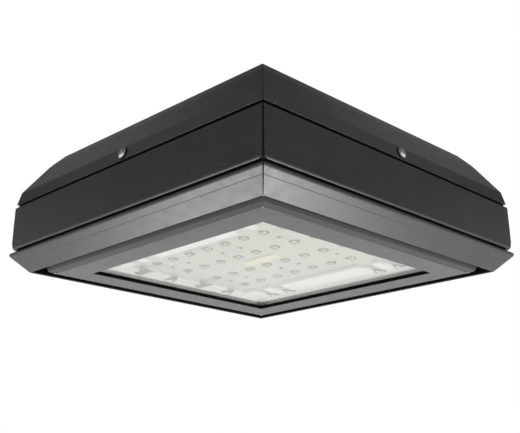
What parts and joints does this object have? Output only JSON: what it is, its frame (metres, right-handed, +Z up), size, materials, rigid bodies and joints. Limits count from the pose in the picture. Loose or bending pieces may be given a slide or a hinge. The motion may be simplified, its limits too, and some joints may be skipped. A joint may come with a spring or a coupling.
{
  "type": "parking garage light",
  "caption": "Square ceiling-mounted garage light with a hipped cover, side band, sloping trim and a hinged glass door over an LED reflector.",
  "frame": {"origin": "centre of the top cover's flat mounting face, where the wire entry is", "axes": "+Z up out of the mounting face to the ceiling, sides parallel to X and Y, door hinge on +Y"},
  "size_m": [0.508, 0.519, 0.1778],
  "materials": {
    "bronze_powder_coat": "dark bronze powder coat on sheet steel, semi-gloss",
    "galvanised_steel": "galvanised sheet steel",
    "stainless_steel": "bright stainless steel",
    "black_rubber": "matt black EPDM",
    "tempered_glass": "clear tempered glass",
    "white_reflector": "white formed reflector",
    "cream_plastic": "cream moulded plastic",
    "board_white": "white solder mask on aluminium board",
    "led_phosphor": "yellow phosphor over the LED package",
    "clear_optic": "clear moulded acrylic",
    "bare_aluminium": "mill finish aluminium",
    "grey_plastic": "grey moulded plastic",
    "wire_insulation": "black wire insulation"
  },
  "bodies": {
    "housing": {"top_cover": "bronze_powder_coat", "mounting_plate": "galvanised_steel", "cover_gasket": "black_rubber", "cover_brackets": "galvanised_steel", "weld_nuts": "galvanised_steel", "sealing_washers": "black_rubber", "cover_screws": "stainless_steel", "side_band": "bronze_powder_coat", "chassis_pan": "galvanised_steel", "floating_nuts": "galvanised_steel", "door_gasket": "black_rubber", "hinge_leaves_fixed": "bronze_powder_coat", "hinge_pins": "stainless_steel", "heat_spreader": "bare_aluminium", "led_chips": "led_phosphor", "led_optics": "clear_optic", "reflector_tray": "white_reflector", "tray_rivets": "stainless_steel", "connector_cover": "cream_plastic", "heat_sink": "bare_aluminium", "gear_bridge": "galvanised_steel", "led_driver": "bare_aluminium", "driver_screws": "stainless_steel", "surge_protector": "grey_plastic", "terminal_block": "cream_plastic", "supply_leads": "wire_insulation", "led_leads": "wire_insulation", "lead_grommet": "black_rubber", "led_board_1": "board_white", "led_board_2": "board_white", "led_board_3": "board_white", "led_board_4": "board_white"},
    "door": {"lower_trim": "bronze_powder_coat", "lens_frame": "bronze_powder_coat", "lens_gasket": "black_rubber", "lens_glass": "tempered_glass", "lens_clips": "stainless_steel", "clip_studs": "stainless_steel", "clip_nuts": "stainless_steel", "hinge_leaves_door": "bronze_powder_coat"},
    "captive_left": {"captive_screw_left": "stainless_steel", "retaining_ring_left": "stainless_steel"},
    "captive_right": {"captive_screw_right": "stainless_steel", "retaining_ring_right": "stainless_steel"}
  },
  "joints": [
    {"name": "door_hinge", "type": "hinge", "parent": "housing", "child": "door", "pos_m": [0, 0.26, -0.1488], "axis": [1, 0, 0], "range_deg": [0, 90]},
    {"name": "captive_left_travel", "type": "slide", "parent": "door", "child": "captive_left", "axis": [0, 0, -1], "range_m": [0, 0.006]},
    {"name": "captive_right_travel", "type": "slide", "parent": "door", "child": "captive_right", "axis": [0, 0, -1], "range_m": [0, 0.006]}
  ]
}
